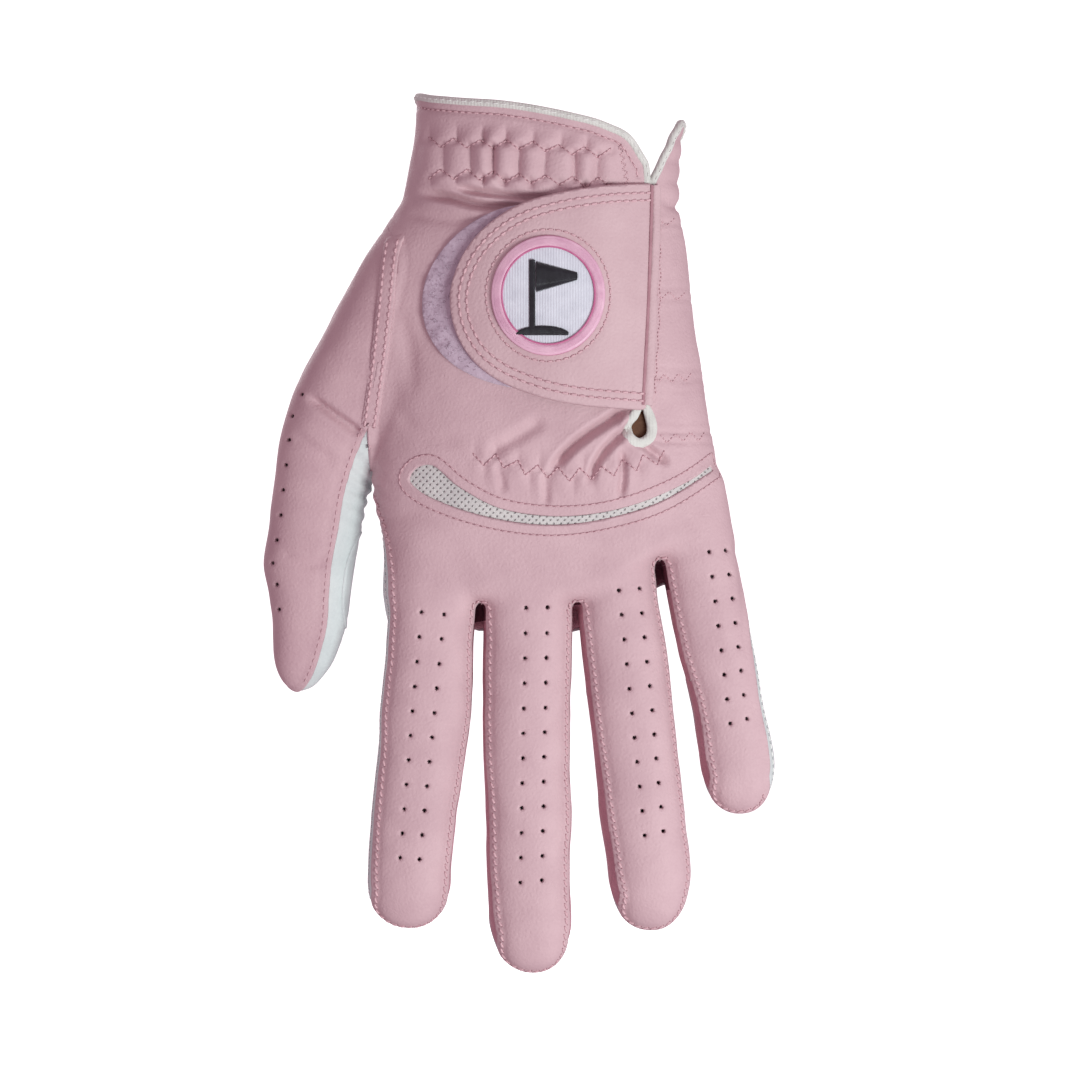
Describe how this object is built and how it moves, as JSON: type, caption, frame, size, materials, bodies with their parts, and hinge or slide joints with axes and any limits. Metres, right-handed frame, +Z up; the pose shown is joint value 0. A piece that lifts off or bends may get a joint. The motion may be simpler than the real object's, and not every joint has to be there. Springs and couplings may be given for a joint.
{
  "type": "golf glove",
  "caption": "Left-hand leather golf glove with a mesh knuckle vent, elastic cuff, wrist slit and a hook-and-loop closure tab with a round badge.",
  "frame": {"origin": "centre of the hand opening at the cuff", "axes": "+Z up the forearm with the fingers pointing down, +X from the thumb side to the little-finger side, +Y from the back of the hand to the palm"},
  "size_m": [0.1135, 0.0415, 0.1925],
  "materials": {
    "pink_leather": "matte napped",
    "white_leather": "smooth grained",
    "pink_fourchette": "matte",
    "mesh_knit": "open knit",
    "white_binding": "ribbed tape",
    "loop_pile": "brushed loop",
    "hook_nylon": "moulded hooks",
    "elastic_web": "woven elastic",
    "cotton_facing": "plain",
    "label_satin": "satin",
    "badge_twill": "twill",
    "badge_satin": "satin stitch",
    "dark_thread": "embroidery"
  },
  "bodies": {
    "hand": {"palm_panel": "white_leather", "back_panel": "pink_leather", "mesh_vent": "mesh_knit", "cuff_binding": "white_binding", "slit_binding": "white_binding", "thumb_seam_tape": "pink_leather", "loop_patch": "loop_pile", "tab_anchor": "pink_leather", "cuff_elastics": "elastic_web", "knuckle_elastic": "elastic_web", "flank_elastics": "elastic_web", "cuff_facing": "cotton_facing", "size_label": "label_satin", "thumb_back": "pink_leather", "thumb_front": "white_leather", "knuckle_crease": "white_leather", "thumb_crease": "white_leather"},
    "finger_block": {"knuckle_panel": "pink_leather", "finger_palm_panel": "white_leather", "fourchette_index_middle": "pink_fourchette", "fourchette_middle_ring": "pink_fourchette", "fourchette_ring_little": "pink_fourchette", "index_crease": "white_leather", "middle_crease": "white_leather", "ring_crease": "white_leather", "little_crease": "white_leather"},
    "thumb_end": {"thumb_tip_back": "pink_leather", "thumb_tip_front": "white_leather"},
    "tab": {"tab_leather": "pink_leather", "tab_lining": "cotton_facing", "hook_patch": "hook_nylon", "badge_disc": "badge_twill", "badge_ring": "badge_satin", "badge_motif": "dark_thread"},
    "index_finger": {"index_back": "pink_leather", "index_front": "white_leather", "index_fourchette": "pink_fourchette"},
    "middle_finger": {"middle_back": "pink_leather", "middle_front": "white_leather", "middle_fourchette": "pink_fourchette"},
    "ring_finger": {"ring_back": "pink_leather", "ring_front": "white_leather", "ring_fourchette": "pink_fourchette"},
    "little_finger": {"little_back": "pink_leather", "little_front": "white_leather", "little_fourchette": "pink_fourchette"}
  },
  "joints": [
    {"name": "knuckle_fold", "type": "hinge", "parent": "hand", "child": "finger_block", "pos_m": [0.002, 0, -0.0965], "axis": [0.9862, 0, 0.1656], "range_deg": [0, 60], "stiffness_Nm_per_rad": 0.02, "deforming": ["knuckle_crease"]},
    {"name": "index_bend", "type": "hinge", "parent": "finger_block", "child": "index_finger", "pos_m": [-0.02757, 0.00258, -0.134], "axis": [0.997, 0, -0.078], "range_deg": [0, 80], "stiffness_Nm_per_rad": 0.004, "deforming": ["index_crease"]},
    {"name": "middle_bend", "type": "hinge", "parent": "finger_block", "child": "middle_finger", "pos_m": [-0.0047, 0.00256, -0.138], "axis": [1, 0, 0], "range_deg": [0, 80], "stiffness_Nm_per_rad": 0.004, "deforming": ["middle_crease"]},
    {"name": "ring_bend", "type": "hinge", "parent": "finger_block", "child": "ring_finger", "pos_m": [0.01792, 0.00258, -0.134], "axis": [0.9939, 0, 0.1104], "range_deg": [0, 80], "stiffness_Nm_per_rad": 0.004, "deforming": ["ring_crease"]},
    {"name": "little_bend", "type": "hinge", "parent": "finger_block", "child": "little_finger", "pos_m": [0.0366, 0.0026, -0.12], "axis": [0.9806, 0, 0.1961], "range_deg": [0, 80], "stiffness_Nm_per_rad": 0.004, "deforming": ["little_crease"]},
    {"name": "thumb_bend", "type": "hinge", "parent": "hand", "child": "thumb_end", "pos_m": [-0.0524, 0.0092, -0.099], "axis": [0.996, 0, -0.0896], "range_deg": [0, 55], "stiffness_Nm_per_rad": 0.004, "deforming": ["thumb_crease"]},
    {"name": "tab_peel", "type": "hinge", "parent": "hand", "child": "tab", "pos_m": [0.0214, -0.0159, -0.043], "axis": [0, 0, 1], "range_deg": [0, 150]}
  ]
}
